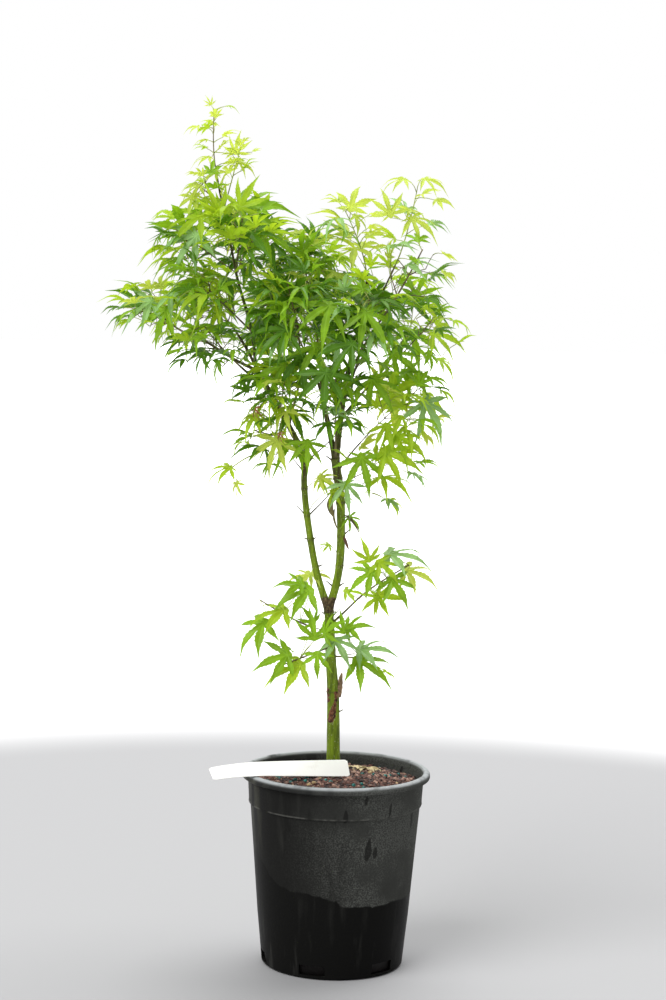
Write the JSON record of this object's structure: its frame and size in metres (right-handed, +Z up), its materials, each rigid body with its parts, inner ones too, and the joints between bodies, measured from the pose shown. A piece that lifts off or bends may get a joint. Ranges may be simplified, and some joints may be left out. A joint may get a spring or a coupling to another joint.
{
  "type": "potted japanese maple",
  "caption": "Young two-stemmed Japanese maple in leaf, in a round black nursery pot of potting mix with a blank white plant label across the rim.",
  "frame": {"origin": "middle of the pot's flat underside", "axes": "+X right and +Y away as seen in the picture, +Z up the trunk"},
  "size_m": [0.3262, 0.2229, 0.7886],
  "materials": {
    "pot_plastic": "black moulded plastic, dusty above and damp below, with a lighter worn lip",
    "potting_mix": "damp potting mix of red-brown bark crumbs with pale prills and dry leaf flakes",
    "label_plastic": "thin white plastic strip, blank",
    "green_bark": "smooth olive green young bark with brown patches and nodes",
    "brown_bark": "thin brown young bark",
    "foliage": "fresh green lobed leaves, lime at the tips and deeper green inside, slightly translucent"
  },
  "bodies": {
    "root": {"pot": "pot_plastic", "potting_mix": "potting_mix", "label": "label_plastic", "trunk": "green_bark", "left_stem": "green_bark", "right_stem": "green_bark", "right_bough": "brown_bark", "centre_bough": "brown_bark", "leader": "brown_bark", "left_bough": "brown_bark", "left_low_bough": "brown_bark", "left_back_bough": "brown_bark", "centre_front_bough": "brown_bark", "centre_back_bough": "brown_bark", "upper_right_bough": "brown_bark", "right_outer_bough": "brown_bark", "right_back_bough": "brown_bark", "right_side_bough": "brown_bark", "right_front_bough": "brown_bark", "right_lower_bough": "brown_bark", "hanging_twig": "brown_bark", "low_right_bough": "brown_bark", "low_left_bough": "brown_bark", "foliage_leader_top": "foliage", "foliage_leader_spur": "foliage", "foliage_leader_left": "foliage", "foliage_leader_front": "foliage", "foliage_leader_west": "foliage", "foliage_leader_back": "foliage", "foliage_left_upper": "foliage", "foliage_left_back": "foliage", "foliage_left_tip": "foliage", "foliage_left_lower": "foliage", "foliage_centre_top": "foliage", "foliage_centre_front": "foliage", "foliage_centre_back": "foliage", "foliage_centre_low": "foliage", "foliage_left_hanging": "foliage", "foliage_right_top": "foliage", "foliage_upper_right": "foliage", "foliage_right_outer": "foliage", "foliage_right_front": "foliage", "foliage_middle_front": "foliage", "foliage_right_back": "foliage", "foliage_right_tip": "foliage", "foliage_right_lower": "foliage", "foliage_right_hanging": "foliage", "foliage_low_right": "foliage", "foliage_low_left": "foliage", "foliage_low_front_left": "foliage", "foliage_low_front_right": "foliage", "foliage_lone_sprig": "foliage"}
  },
  "joints": []
}
